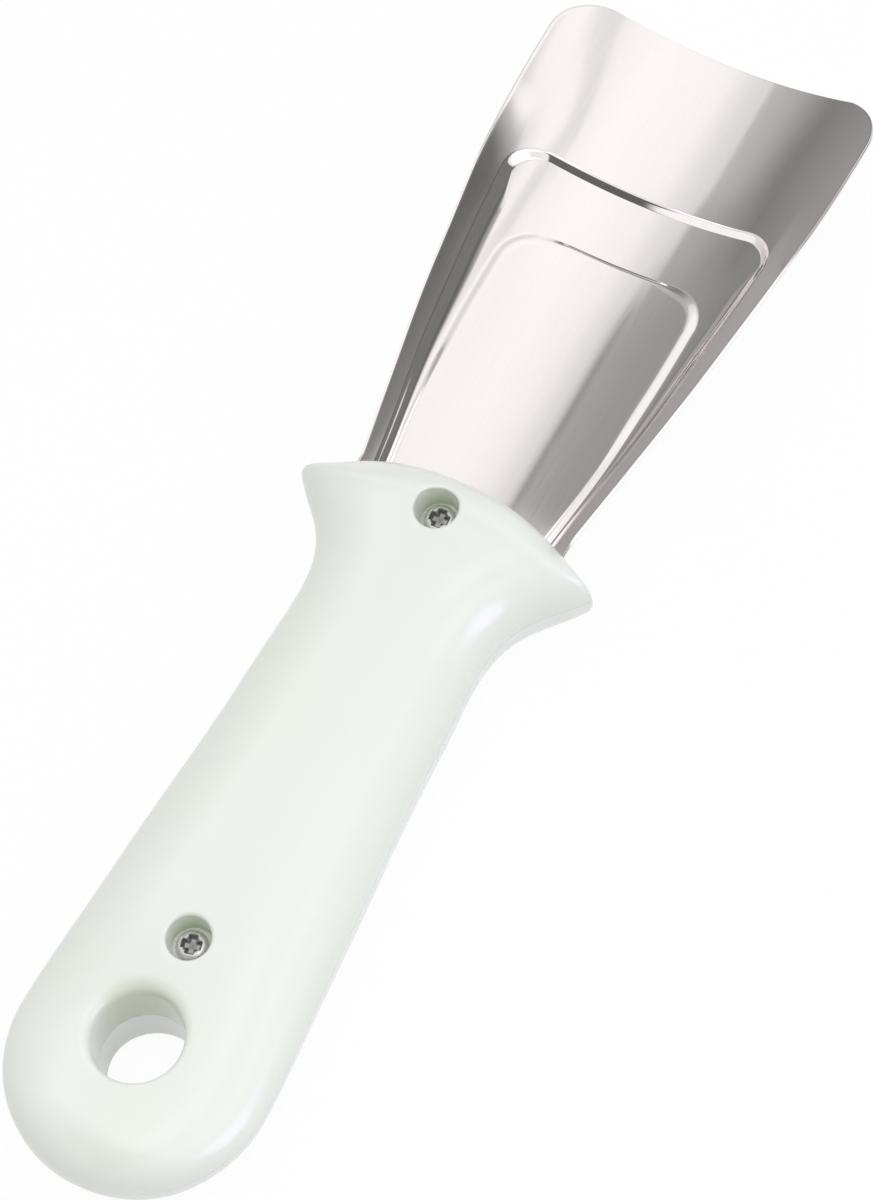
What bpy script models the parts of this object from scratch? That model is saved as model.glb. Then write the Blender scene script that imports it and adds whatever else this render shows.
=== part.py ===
"""Freezer ice scraper: a hollow two-half plastic handle, one stamped steel blade, two screws.

Frame: +X from the hanging hole towards the blade's front edge, +Y to the left, +Z up, towards the side
with the screw heads. Sizes are in millimetres and turned into metres where a mesh is made.
"""
import math

import bmesh
import bpy
import numpy as np

MM = 0.001

# Handle outline: distance from the tail end, half width
TAIL_RADIUS = 23.1
WIDTHS = [(42.0, 21.7), (62.0, 20.1), (82.0, 18.4), (100.0, 17.5), (111.0, 17.3), (117.0, 18.8),
          (121.5, 21.6), (125.0, 24.9), (127.6, 27.2), (129.3, 28.1)]
COLLAR_TIP_X = 129.3
COLLAR_NOSE_X = 137.8
COLLAR_TIP_HALF = 28.1
# Handle crown: distance from the tail end, half height
HEIGHTS = [(-1.0, 9.2), (24.0, 9.3), (42.0, 11.3), (62.0, 12.3), (90.0, 12.3), (111.0, 12.1),
           (122.0, 12.4), (129.3, 12.6)]
TAIL_EDGE_ROUND = 9.0
SQUARENESS = 0.82
WALL = 2.4
HALF_GAP = 0.15
FIT = 0.3
# How far cutters and trimmed posts run past the faces they meet
BEYOND = 20.0

# Hanging hole
HOLE_X = 24.3
HOLE_DIAMETER = 15.8
HOLE_MOUTH_ROUND = 3.0
HOLE_TUBE_WALL = 2.2

# Screws and the wells they sit in
REAR_SCREW_X = 42.6
FRONT_SCREW_X = 128.8
HEAD_DIAMETER = 5.5
HEAD_HEIGHT = 2.2
HEAD_TOP_Z = 8.4
SHANK_DIAMETER = 2.6
SHANK_LENGTH = 13.0
RECESS_LENGTH = 3.1
RECESS_WIDTH = 0.95
RECESS_DEPTH = 1.3
WELL_DIAMETER = 8.2
WELL_WALL = 1.7
BOSS_DIAMETER = 8.0

# Locating pins between the halves, ribs inside them
PIN_PLACES = [(68.0, 10.5), (68.0, -10.5), (101.0, 8.5), (101.0, -8.5)]
PIN_DIAMETER = 3.0
PIN_REACH = 3.6
POST_DIAMETER = 6.6
RIB_PLACES = [56.0, 80.0, 92.0, 115.5]
RIB_THICKNESS = 1.6
RIB_CLEAR_HEIGHT = 4.6
SPINE_CLEAR_HEIGHT = 5.8

# Blade stamping
SHEET = 0.7
BLADE_END_X = 235.6
BLADE_CORNER = 9.0
TROUGH_RADIUS = 65.0
BLADE_WIDTHS = [(137.0, 20.6), (146.0, 22.2), (158.0, 24.3), (170.0, 26.3), (182.0, 27.9),
                (194.0, 29.5), (206.0, 30.7), (218.0, 31.3), (236.0, 31.4)]
BLADE_FLOOR = [(100.0, -2.1), (137.0, -2.3), (152.0, -2.8), (170.0, -3.5), (200.0, -5.3),
               (236.0, -7.4)]
PANEL_SETBACK = 31.9
PANEL_FRONT_X = BLADE_END_X - PANEL_SETBACK
PANEL_WIDTHS = [(130.0, 17.6), (143.0, 19.3), (160.0, 22.1), (172.0, 23.6), (185.0, 25.0),
                (198.0, 25.9), (210.0, 26.4)]
PANEL_CORNER = 4.5
PANEL_DEPTH = 1.2
PAD_SETBACK = 46.0
PAD_FRONT_X = BLADE_END_X - PAD_SETBACK
PAD_WIDTHS = [(130.0, 14.9), (144.0, 16.8), (152.0, 17.7), (160.0, 18.3), (170.0, 18.7),
              (180.0, 18.8), (195.0, 18.8)]
PAD_CORNER = 4.5
PAD_HEIGHT = 0.9
PRESS_WALL = 1.0
TANG_START_X = 110.5
TANG_HALF = 12.5
TANG_CORNER = 4.0
SHOULDER_X = 129.4
SHOULDER_RUN = 3.2
TONGUE_DROP = 4.5

OBJECT_NAME = "freezer_ice_scraper"


def clear_scene():
    for ob in list(bpy.data.objects):
        bpy.data.objects.remove(ob, do_unlink=True)
    for coll in list(bpy.data.collections):
        bpy.data.collections.remove(coll)


def new_collection(name, hidden):
    coll = bpy.data.collections.new(name)
    bpy.context.scene.collection.children.link(coll)
    coll.hide_render = hidden
    return coll


def make_material(name, colour, roughness, metallic):
    mat = bpy.data.materials.new(name)
    mat.use_nodes = True
    mat.diffuse_color = (colour[0], colour[1], colour[2], 1.0)
    shader = mat.node_tree.nodes["Principled BSDF"]
    shader.inputs["Base Color"].default_value = (colour[0], colour[1], colour[2], 1.0)
    shader.inputs["Roughness"].default_value = roughness
    shader.inputs["Metallic"].default_value = metallic
    return mat


def smooth_curve(points, x):
    """Cubic through the points, its slope at each one taken from the two neighbours."""
    px = np.array([p[0] for p in points])
    py = np.array([p[1] for p in points])
    slope = np.gradient(py, px)
    step = np.diff(py) / np.diff(px)
    slope[0] = step[0]
    slope[-1] = step[-1]
    x = np.clip(np.asarray(x, float), px[0], px[-1])
    k = np.clip(np.searchsorted(px, x) - 1, 0, len(px) - 2)
    run = px[k + 1] - px[k]
    t = (x - px[k]) / run
    a = 2 * t ** 3 - 3 * t ** 2 + 1
    b = t ** 3 - 2 * t ** 2 + t
    c = -2 * t ** 3 + 3 * t ** 2
    d = t ** 3 - t ** 2
    return a * py[k] + b * run * slope[k] + c * py[k + 1] + d * run * slope[k + 1]


def handle_width(x):
    """Half width: a round tail, the waisted grip, the flare and the bowed front of the collar."""
    x = np.asarray(x, float)
    round_tail = np.sqrt(np.maximum(TAIL_RADIUS ** 2 - (TAIL_RADIUS - x) ** 2, 0.0))
    grip = smooth_curve([(TAIL_RADIUS - 6.0, TAIL_RADIUS), (TAIL_RADIUS, TAIL_RADIUS)] + WIDTHS, x)
    ahead = np.clip((x - COLLAR_TIP_X) / (COLLAR_NOSE_X - COLLAR_TIP_X), 0.0, 1.0)
    front = COLLAR_TIP_HALF * np.sqrt(1.0 - ahead)
    return np.where(x < TAIL_RADIUS, round_tail, np.where(x <= COLLAR_TIP_X, grip, front))


def handle_height(x):
    """Half height: rounded over at the tail end and at the collar's front rim."""
    x = np.asarray(x, float)
    crown = smooth_curve(HEIGHTS, x)
    back = np.clip((TAIL_EDGE_ROUND - x) / TAIL_EDGE_ROUND, 0.0, 1.0)
    crown = crown * np.sqrt(1.0 - back ** 2)
    ahead = np.clip((x - COLLAR_TIP_X) / (COLLAR_NOSE_X - COLLAR_TIP_X), 0.0, 1.0)
    return crown * np.sqrt(1.0 - ahead ** 3.0)


def handle_stations(count_scale):
    """Places of the cross sections, close together where the outline turns quickly."""
    tail = TAIL_RADIUS * (1.0 - np.cos(np.linspace(0.0, 0.5 * math.pi, int(9 * count_scale))))
    grip = np.linspace(TAIL_RADIUS, 111.0, int(10 * count_scale))
    flare = np.linspace(111.0, COLLAR_TIP_X, int(9 * count_scale))
    swing = np.linspace(0.0, 0.5 * math.pi, int(9 * count_scale))
    front = COLLAR_TIP_X + (COLLAR_NOSE_X - COLLAR_TIP_X) * np.sin(swing)
    return np.concatenate([tail, grip[1:], flare[1:], front[1:]])


def mesh_object(name, verts, faces, coll):
    mesh = bpy.data.meshes.new(name)
    scaled = [(v[0] * MM, v[1] * MM, v[2] * MM) for v in verts]
    mesh.from_pydata(scaled, [], faces)
    bm = bmesh.new()
    bm.from_mesh(mesh)
    bmesh.ops.recalc_face_normals(bm, faces=bm.faces)
    bm.to_mesh(mesh)
    bm.free()
    ob = bpy.data.objects.new(name, mesh)
    coll.objects.link(ob)
    return ob


def handle_form(name, coll, inset, scale, start, stop):
    """Loft of squarish ovals along the handle, from angle start to stop, shrunk by inset all round."""
    stations = handle_stations(scale)
    wide = handle_width(stations)
    tall = handle_height(stations)
    centre = 0.5 * COLLAR_NOSE_X
    shrink = 1.0 - 2.0 * inset / COLLAR_NOSE_X
    places = centre + (stations - centre) * shrink
    full_turn = stop - start > 6.0
    arcs = int(round((stop - start) / math.pi * 18 * scale))
    turns = np.linspace(start, stop, arcs + 1)
    if full_turn:
        turns = turns[:-1]
    cosine = np.sign(np.cos(turns)) * np.abs(np.cos(turns)) ** SQUARENESS
    sine = np.sign(np.sin(turns)) * np.abs(np.sin(turns)) ** SQUARENESS
    cosine[np.abs(cosine) < 1e-9] = 0.0
    sine[np.abs(sine) < 1e-9] = 0.0
    side = HALF_GAP * (0.0 if full_turn else (1.0 if sine[len(turns) // 2] > 0 else -1.0))
    verts = [(places[0], 0.0, side)]
    for x, w, h in zip(places[1:-1], wide[1:-1], tall[1:-1]):
        w = max(w - inset, 0.4)
        h = max(h - inset, 0.4)
        for c, s in zip(cosine, sine):
            z = h * s if full_turn else side + (h - HALF_GAP) * s
            verts.append((x, w * c, z))
    verts.append((places[-1], 0.0, side))
    ring = len(turns)
    rows = len(stations) - 2
    last = len(verts) - 1
    faces = []
    around = range(ring) if full_turn else range(ring - 1)
    for j in around:
        nxt = (j + 1) % ring
        faces.append((0, 1 + j, 1 + nxt))
        base = 1 + (rows - 1) * ring
        faces.append((last, base + nxt, base + j))
        for i in range(rows - 1):
            a = 1 + i * ring
            b = a + ring
            faces.append((a + j, b + j, b + nxt, a + nxt))
    if not full_turn:
        for i in range(rows - 1):
            a = 1 + i * ring
            b = a + ring
            faces.append((a, a + ring - 1, b + ring - 1, b))
        faces.append((0, ring, 1))
        base = 1 + (rows - 1) * ring
        faces.append((last, base, base + ring - 1))
    return mesh_object(name, verts, faces, coll)


def cylinder(name, coll, x, y, z0, z1, diameter, sides=28):
    bm = bmesh.new()
    bmesh.ops.create_cone(bm, cap_ends=True, cap_tris=False, segments=sides, radius1=0.5 * diameter * MM,
                          radius2=0.5 * diameter * MM, depth=(z1 - z0) * MM)
    mesh = bpy.data.meshes.new(name)
    bm.to_mesh(mesh)
    bm.free()
    ob = bpy.data.objects.new(name, mesh)
    ob.location = (x * MM, y * MM, 0.5 * (z0 + z1) * MM)
    coll.objects.link(ob)
    return ob


def block(name, coll, low, high):
    bm = bmesh.new()
    bmesh.ops.create_cube(bm, size=1.0)
    for v in bm.verts:
        for k in range(3):
            v.co[k] = (low[k] if v.co[k] < 0 else high[k]) * MM
    mesh = bpy.data.meshes.new(name)
    bm.to_mesh(mesh)
    bm.free()
    ob = bpy.data.objects.new(name, mesh)
    coll.objects.link(ob)
    return ob


def turned(name, coll, profile, steps):
    """Screw modifier on an open profile of (radius, height) points, welded at the axis."""
    mesh = bpy.data.meshes.new(name)
    verts = [(r * MM, 0.0, z * MM) for r, z in profile]
    mesh.from_pydata(verts, [(i, i + 1) for i in range(len(verts) - 1)], [])
    ob = bpy.data.objects.new(name, mesh)
    coll.objects.link(ob)
    screw = ob.modifiers.new("turn", "SCREW")
    screw.axis = "Z"
    screw.angle = 2.0 * math.pi
    screw.steps = steps
    screw.render_steps = steps
    screw.use_merge_vertices = True
    screw.merge_threshold = 0.00001
    return ob


def boolean(ob, tool, operation):
    mod = ob.modifiers.new(operation.lower(), "BOOLEAN")
    mod.operation = operation
    mod.solver = "EXACT"
    mod.object = tool


def boolean_group(ob, group, operation):
    mod = ob.modifiers.new(operation.lower(), "BOOLEAN")
    mod.operation = operation
    mod.solver = "EXACT"
    mod.operand_type = "COLLECTION"
    mod.collection = group


def finish(ob, mat):
    ob.data.materials.clear()
    ob.data.materials.append(mat)


# Blade surface

def blade_width(x):
    """Half width: the flaring sides, the rounded front corners, the shoulders and the narrow tang."""
    x = np.asarray(x, float)
    wide = smooth_curve(BLADE_WIDTHS, x)
    turn = np.clip((x - (BLADE_END_X - BLADE_CORNER)) / BLADE_CORNER, 0.0, 1.0)
    wide = wide - BLADE_CORNER * (1.0 - np.sqrt(1.0 - turn ** 2))
    t = np.clip((x - (SHOULDER_X - SHOULDER_RUN)) / SHOULDER_RUN, 0.0, 1.0)
    ease = t * t * (3.0 - 2.0 * t)
    tang_turn = np.clip(1.0 - (x - TANG_START_X) / TANG_CORNER, 0.0, 1.0)
    tang = TANG_HALF - TANG_CORNER * (1.0 - np.sqrt(1.0 - tang_turn ** 2))
    return tang + (wide - tang) * ease


def pressed(x, y, front_x, widths, corner):
    """One inside a round-cornered field that runs back to the root, zero outside, eased in between."""
    half = smooth_curve(widths, x)
    qx = x - (front_x - corner)
    qy = np.abs(y) - (half - corner)
    outside = np.hypot(np.maximum(qx, 0.0), np.maximum(qy, 0.0))
    depth = corner - outside - np.minimum(np.maximum(qx, qy), 0.0)
    t = np.clip(depth / PRESS_WALL, 0.0, 1.0)
    return t * t * (3.0 - 2.0 * t)


def blade_middle(x, y):
    """Height of the middle of the sheet above the parting plane."""
    floor = smooth_curve(BLADE_FLOOR, x)
    panel = pressed(x, y, PANEL_FRONT_X, PANEL_WIDTHS, PANEL_CORNER)
    pad = pressed(x, y, PAD_FRONT_X, PAD_WIDTHS, PAD_CORNER)
    return floor + y * y / (2.0 * TROUGH_RADIUS) - PANEL_DEPTH * panel + PAD_HEIGHT * pad


def blade_rows():
    """Places across the blade's length, close at the pressed walls and at the front corners."""
    tang = [TANG_START_X + TANG_CORNER * d for d in (0.0, 0.15, 0.5, 1.0, 2.3)]
    shoulder = [SHOULDER_X - SHOULDER_RUN * d for d in (1.0, 0.7, 0.35, 0.0)]
    wall = (0.5 * PRESS_WALL, 0.0)
    pad_end = [PAD_FRONT_X - d for d in (PAD_CORNER, 3.0 * PRESS_WALL, 1.9 * PRESS_WALL, PRESS_WALL) + wall]
    panel_end = [PANEL_FRONT_X - d for d in (PANEL_CORNER, 3.0 * PRESS_WALL, 1.9 * PRESS_WALL, PRESS_WALL) + wall]
    root = list(np.linspace(SHOULDER_X, pad_end[0], 9)[1:-1])
    between = [0.5 * (pad_end[-1] + panel_end[0])]
    swing = np.linspace(0.0, 0.5 * math.pi, 7)
    front = [BLADE_END_X - BLADE_CORNER * (1.0 - math.sin(a)) for a in swing]
    plain = list(np.linspace(PANEL_FRONT_X, front[0], 5)[1:-1])
    return np.array(tang + shoulder + root + pad_end + between + panel_end + plain + front)


def blade_columns(x):
    """Places across one half of the blade at x, tied to the pressed walls and to the edge."""
    full = float(blade_width(x))
    edge = max(full, 1.0)
    pad = min(float(smooth_curve(PAD_WIDTHS, x)), edge * 0.8)
    panel = min(float(smooth_curve(PANEL_WIDTHS, x)), edge * 0.93)
    wall = min(PRESS_WALL, 0.2 * (panel - pad))
    inner = [0.33 * (pad - 3.0), 0.72 * (pad - 3.0), pad - 2.4, pad - wall, pad - 0.5 * wall, pad]
    outer = [0.5 * (pad + panel - wall), panel - wall, panel - 0.5 * wall, panel, edge]
    return np.array(inner + outer)


def build_blade(coll, cutters, mat):
    verts = []
    rows = blade_rows()
    for x in rows:
        half = blade_columns(x)
        line = np.concatenate([-half[::-1], [0.0], half])
        height = blade_middle(np.full(len(line), x), line)
        for y, z in zip(line, height):
            verts.append((x, y, z))
    ob = mesh_object("blade", verts, grid_faces(len(rows), len(line)), coll)
    thick = ob.modifiers.new("sheet", "SOLIDIFY")
    thick.thickness = SHEET * MM
    thick.offset = 0.0
    thick.use_even_offset = True
    hole = cylinder("tang_hole", cutters, FRONT_SCREW_X - 3.0, 0.0, -8.0, 6.0, BOSS_DIAMETER + 2 * FIT)
    hole.location.x = FRONT_SCREW_X * MM
    boolean(ob, hole, "DIFFERENCE")
    finish(ob, mat)
    return ob


def grid_faces(rows, columns, first=0, flip=False):
    faces = []
    for i in range(rows - 1):
        for j in range(columns - 1):
            a = first + i * columns + j
            face = (a, a + columns, a + columns + 1, a + 1)
            faces.append(face[::-1] if flip else face)
    return faces


def blade_slot(name, cutters, above):
    """Cutter from the sheet's near face plus the fit to beyond the parting plane, through the front wall.

    The fit is measured square to the sheet, so it is taller over the pressed walls, which climb
    PANEL_DEPTH over PRESS_WALL.
    """
    steep = math.hypot(1.0, PANEL_DEPTH / PRESS_WALL)
    tall = np.array([1.0, 1.0, 1.0, steep, steep, steep, 1.0, steep, steep, steep, 1.0])
    clear = (0.5 * SHEET + FIT) * np.concatenate([tall[::-1], [1.0], tall])
    verts = []
    flat = []
    rows = np.linspace(SHOULDER_X - SHOULDER_RUN, COLLAR_NOSE_X + 3.0, 6)
    for x in rows:
        half = blade_columns(max(x, SHOULDER_X))
        half[-1] = float(blade_width(COLLAR_NOSE_X)) + 2.0 * FIT
        line = np.concatenate([-half[::-1], [0.0], half])
        near = blade_middle(np.full(len(line), x), line) + (clear if above else -clear)
        verts += [(x, y, z) for y, z in zip(line, near)]
        flat += [(x, y, -BEYOND if above else BEYOND) for y in line]
    n = len(line)
    m = len(rows)
    deck = len(verts)
    faces = grid_faces(m, n) + grid_faces(m, n, deck, True)
    for i in range(m - 1):
        for j in (0, n - 1):
            a = i * n + j
            faces.append((a, a + n, deck + a + n, deck + a))
    for j in range(n - 1):
        for i in (0, m - 1):
            a = i * n + j
            faces.append((a, a + 1, deck + a + 1, deck + a))
    return mesh_object(name, verts + flat, faces, cutters)


def crown_at(x, y):
    """Height of the handle's outer face above the parting plane."""
    across = np.clip(np.abs(y) / handle_width(x), 0.0, 1.0)
    return handle_height(x) * (1.0 - across ** (2.0 / SQUARENESS)) ** (0.5 * SQUARENESS)


def hole_cutter(cutters):
    """Cutter for the hanging hole: a straight bore whose two round mouths follow the crowned faces."""
    steps = 36
    turns = np.linspace(0.0, 2.0 * math.pi, steps + 1)[:-1]
    bore = 0.5 * HOLE_DIAMETER
    last = math.radians(74.0)
    rings = [(bore + HOLE_MOUTH_ROUND * (1.0 - math.cos(last)) + 0.2, 3.0)]
    for a in np.linspace(last, 0.0, 6):
        rings.append((bore + HOLE_MOUTH_ROUND * (1.0 - math.cos(a)), -HOLE_MOUTH_ROUND * (1.0 - math.sin(a))))
    rim = bore + HOLE_MOUTH_ROUND * (1.0 - math.cos(last))
    face = crown_at(HOLE_X + rim * np.cos(turns), rim * np.sin(turns))
    verts = []
    for side in (1.0, -1.0):
        for r, drop in (rings if side > 0 else rings[::-1]):
            for turn, height in zip(turns, face):
                verts.append((HOLE_X + r * math.cos(turn), r * math.sin(turn), side * (height + drop)))
    rows = 2 * len(rings)
    faces = []
    for i in range(rows - 1):
        for j in range(steps):
            a = i * steps
            b = a + steps
            k = (j + 1) % steps
            faces.append((a + j, b + j, b + k, a + k))
    faces.append(tuple(range(steps)))
    faces.append(tuple(range((rows - 1) * steps, rows * steps))[::-1])
    return mesh_object("hanging_hole", verts, faces, cutters)


def furniture(name, cutters, upper):
    """Everything that stands inside one half: hole tube, screw bosses, pin posts and ribs.

    The front bosses reach through the parting plane: the front shell's presses on the tang, and the
    back shell's stands in the tang's hole.
    """
    sign = 1.0 if upper else -1.0
    group = bpy.data.collections.new(name + "_members")
    cutters.children.link(group)

    def post(label, x, y, diameter, foot=HALF_GAP + 0.03, sides=24):
        z = sorted((sign * foot, sign * BEYOND))
        return cylinder(name + "_" + label, group, x, y, z[0], z[1], diameter, sides)

    def plate(label, low_x, high_x, low_y, high_y, foot):
        z = sorted((sign * foot, sign * BEYOND))
        return block(name + "_" + label, group, (low_x, low_y, z[0]), (high_x, high_y, z[1]))

    tube = post("tube", HOLE_X, 0.0, HOLE_DIAMETER + 2 * HOLE_TUBE_WALL, sides=36)
    group.objects.unlink(tube)
    cutters.objects.link(tube)
    boss = WELL_DIAMETER + 2 * WELL_WALL if upper else BOSS_DIAMETER
    post("rear_boss", REAR_SCREW_X, 0.0, boss)
    press = float(blade_middle(FRONT_SCREW_X, 0.5 * WELL_DIAMETER + WELL_WALL)) + 0.5 * SHEET + FIT
    post("front_boss", FRONT_SCREW_X, 0.0, boss, foot=press if upper else FIT - press)
    for k, (x, y) in enumerate(PIN_PLACES):
        post("post_%d" % k, x, y, POST_DIAMETER, sides=20)
    half = 0.5 * RIB_THICKNESS
    for k, x in enumerate(RIB_PLACES):
        plate("rib_%d" % k, x - half, x + half, -COLLAR_TIP_HALF, COLLAR_TIP_HALF, RIB_CLEAR_HEIGHT)
    plate("spine", REAR_SCREW_X + 2.0, FRONT_SCREW_X - 2.0, -half, half, SPINE_CLEAR_HEIGHT)
    boolean_group(tube, group, "UNION")
    trim = handle_form(name + "_trim", cutters, 1.1, 0.8, 0.0, 2.0 * math.pi)
    boolean(tube, trim, "INTERSECT")
    return tube


def build_shell(name, coll, cutters, mat, upper, hole, hollow):
    turn = (0.0, math.pi) if upper else (math.pi, 2.0 * math.pi)
    ob = handle_form(name, coll, 0.0, 1.0, turn[0], turn[1])
    boolean(ob, hollow, "DIFFERENCE")
    if upper:
        back = FRONT_SCREW_X + 0.5 * BOSS_DIAMETER + 2.0 * FIT
        half = float(smooth_curve(PAD_WIDTHS, SHOULDER_X))
        tongue = block("tongue", cutters, (back, -half, -TONGUE_DROP), (COLLAR_NOSE_X + WALL, half, WALL))
        boolean(tongue, handle_form("tongue_trim", cutters, HALF_GAP, 0.8, 0.0, 2.0 * math.pi), "INTERSECT")
        boolean(ob, tongue, "UNION")
    boolean(ob, blade_slot(name + "_slot", cutters, upper), "DIFFERENCE")
    boolean(ob, furniture(name + "_inside", cutters, upper), "UNION")
    boolean(ob, hole, "DIFFERENCE")
    seat = HEAD_TOP_Z - HEAD_HEIGHT - FIT
    for label, x in (("rear", REAR_SCREW_X), ("front", FRONT_SCREW_X)):
        if upper:
            well = cylinder(label + "_well", cutters, x, 0.0, seat, BEYOND, WELL_DIAMETER)
            boolean(ob, well, "DIFFERENCE")
            bore = cylinder(label + "_bore", cutters, x, 0.0, -BEYOND, seat + WALL, SHANK_DIAMETER + 2.6 * FIT, 20)
            boolean(ob, bore, "DIFFERENCE")
        else:
            deep = HEAD_TOP_Z - HEAD_HEIGHT - SHANK_LENGTH - 2.0 * FIT
            pilot = cylinder(label + "_pilot", cutters, x, 0.0, deep, WALL, SHANK_DIAMETER + 2 * FIT, 20)
            boolean(ob, pilot, "DIFFERENCE")
    for k, (x, y) in enumerate(PIN_PLACES):
        if upper:
            pin = cylinder("pin_%d" % k, cutters, x, y, -PIN_REACH, PIN_REACH, PIN_DIAMETER, 16)
            boolean(ob, pin, "UNION")
        else:
            socket = cylinder("socket_%d" % k, cutters, x, y, -PIN_REACH - 2 * FIT, WALL, PIN_DIAMETER + 2 * FIT, 16)
            boolean(ob, socket, "DIFFERENCE")
    finish(ob, mat)
    return ob


def build_screw(name, coll, cutters, mat, x):
    """Pan head with a cross recess, plain shank, blunt point; origin under the head."""
    head = 0.5 * HEAD_DIAMETER
    shank = 0.5 * SHANK_DIAMETER
    profile = [(0.0, HEAD_HEIGHT), (0.45 * head, 0.97 * HEAD_HEIGHT), (0.72 * head, 0.86 * HEAD_HEIGHT),
               (0.9 * head, 0.66 * HEAD_HEIGHT), (head, 0.34 * HEAD_HEIGHT), (head, 0.08 * HEAD_HEIGHT),
               (0.95 * head, 0.0), (shank, 0.0), (shank, 2.0 - SHANK_LENGTH), (0.25 * shank, -SHANK_LENGTH),
               (0.0, -SHANK_LENGTH)]
    ob = turned(name, coll, profile, 28)
    ob.location = (x * MM, 0.0, (HEAD_TOP_Z - HEAD_HEIGHT) * MM)
    for k in range(2):
        size = (0.5 * RECESS_LENGTH, 0.5 * RECESS_WIDTH)
        bar = block(name + "_recess_%d" % k, cutters, (-size[0], -size[1], HEAD_HEIGHT - RECESS_DEPTH),
                    (size[0], size[1], HEAD_HEIGHT + 1.0))
        bar.location = ob.location
        bar.rotation_euler = (0.0, 0.0, math.radians(38.0 + 90.0 * k))
        boolean(ob, bar, "DIFFERENCE")
    finish(ob, mat)
    return ob


def shade(ob):
    for poly in ob.data.polygons:
        poly.use_smooth = True
    ob.data.set_sharp_from_angle(angle=math.radians(32.0))


def main():
    clear_scene()
    parts = new_collection(OBJECT_NAME, False)
    cutters = new_collection("cutters", True)
    mint = make_material("mint_plastic", (0.845, 0.875, 0.815), 0.28, 0.0)
    inside_mint = make_material("mint_plastic_back", (0.82, 0.852, 0.79), 0.3, 0.0)
    steel = make_material("polished_stainless", (0.72, 0.7, 0.69), 0.16, 1.0)
    zinc = make_material("plated_screw_steel", (0.6, 0.6, 0.58), 0.32, 1.0)

    hole = hole_cutter(cutters)
    hollow = handle_form("handle_hollow", cutters, WALL, 0.8, 0.0, 2.0 * math.pi)
    front = build_shell("handle_front_shell", parts, cutters, mint, True, hole, hollow)
    back = build_shell("handle_back_shell", parts, cutters, inside_mint, False, hole, hollow)
    blade = build_blade(parts, cutters, steel)
    build_screw("front_screw", parts, cutters, zinc, FRONT_SCREW_X)
    build_screw("rear_screw", parts, cutters, zinc, REAR_SCREW_X)
    for ob in (front, back, blade):
        shade(ob)
    for ob in cutters.all_objects:
        ob.display_type = "WIRE"
        ob.hide_render = True
    lift = float(handle_height(COLLAR_TIP_X))
    for ob in bpy.data.objects:
        ob.location.x -= 0.5 * BLADE_END_X * MM
        ob.location.z += lift * MM


main()
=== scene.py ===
"""Freezer ice scraper: the finely curved pieces and their finishes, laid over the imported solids.

Lengths are millimetres as on the drawing: x from the handle's tail end, y to the left, z up from the
plane where the two handle halves meet. in_frame() turns them into metres of the shared frame.
"""

import math

import bmesh
import bpy
import numpy as np
from mathutils import Matrix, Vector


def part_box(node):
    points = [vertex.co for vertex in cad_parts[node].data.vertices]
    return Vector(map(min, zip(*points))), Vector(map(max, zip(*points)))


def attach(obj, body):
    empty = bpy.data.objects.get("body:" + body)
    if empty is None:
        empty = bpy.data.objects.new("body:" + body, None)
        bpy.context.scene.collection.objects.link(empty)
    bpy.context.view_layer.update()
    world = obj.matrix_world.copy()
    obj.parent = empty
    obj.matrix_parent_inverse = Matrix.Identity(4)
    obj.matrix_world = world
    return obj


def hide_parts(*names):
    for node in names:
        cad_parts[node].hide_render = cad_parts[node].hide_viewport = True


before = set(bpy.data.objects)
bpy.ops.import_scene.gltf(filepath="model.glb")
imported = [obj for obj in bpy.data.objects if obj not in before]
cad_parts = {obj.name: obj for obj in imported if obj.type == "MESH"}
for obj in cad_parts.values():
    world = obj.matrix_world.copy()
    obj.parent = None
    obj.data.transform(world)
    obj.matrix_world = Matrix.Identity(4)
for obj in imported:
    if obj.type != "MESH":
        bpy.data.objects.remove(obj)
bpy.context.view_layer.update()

# 1. Back half of the handle.
# An injection-moulded half shell in pale mint plastic, 2.4 mm thick, with the lower part of the hanging
# tube, two screw bosses and four pin sockets inside. It lies at the bottom and the rest drops into it.

MM = 0.001
TAIL_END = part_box("handle_back_shell")[0].x
COLLAR_HALF_HEIGHT = 12.6
TAIL_RADIUS = 23.1
TAIL_EDGE_ROUND = 9.0
FLARE_X = 111.0
COLLAR_X = 129.3
NOSE_X = 137.8
COLLAR_HALF_WIDTH = 28.1
COLLAR_TIP_ROUND = 0.8
COLLAR_TIP_SPREAD = 1.3
SIDE_LINE = [(17.1, 23.1), (23.1, 23.1), (42.0, 21.7), (62.0, 20.1), (82.0, 18.4), (100.0, 17.5),
             (FLARE_X, 17.3), (117.0, 18.8), (121.5, 21.6), (125.0, 24.9), (127.6, 27.2), (129.3, 28.1),
             (133.0, 29.6)]
CROWN_LINE = [(-1.0, 9.2), (24.0, 9.3), (42.0, 11.3), (62.0, 12.3), (90.0, 12.3), (FLARE_X, 12.1),
              (122.0, 12.4), (129.3, 12.6), (138.0, 12.7)]
SQUARENESS = 0.82
LEAST_HALF = 0.05
RIDGE_X, RIDGE_BOW, RIDGE_BOW_HALF = 130.3, 2.7, 22.9
RIDGE_RISE, RIDGE_SPREAD = 0.22, 1.3
HOLLOW_DEPTH, HOLLOW_AHEAD, HOLLOW_SPREAD = 0.3, 3.2, 1.8
RIDGE_END_Y, RIDGE_FADE = 26.0, 4.0
RIDGE_FADE_HEIGHT = 6.0
WALL = 2.4
SEAM_GAP = 0.03
SEAM_GROOVE, GROOVE_HEIGHT, GROOVE_NOSE_HALF = 0.07, 0.35, 2.0
ARC_STEPS = 104


def in_frame(points):
    """Drawing millimetres to frame metres: x is counted from the tail end, z from the parting plane."""
    return np.asarray(points, float) * MM + (TAIL_END, 0.0, COLLAR_HALF_HEIGHT * MM)


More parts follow.
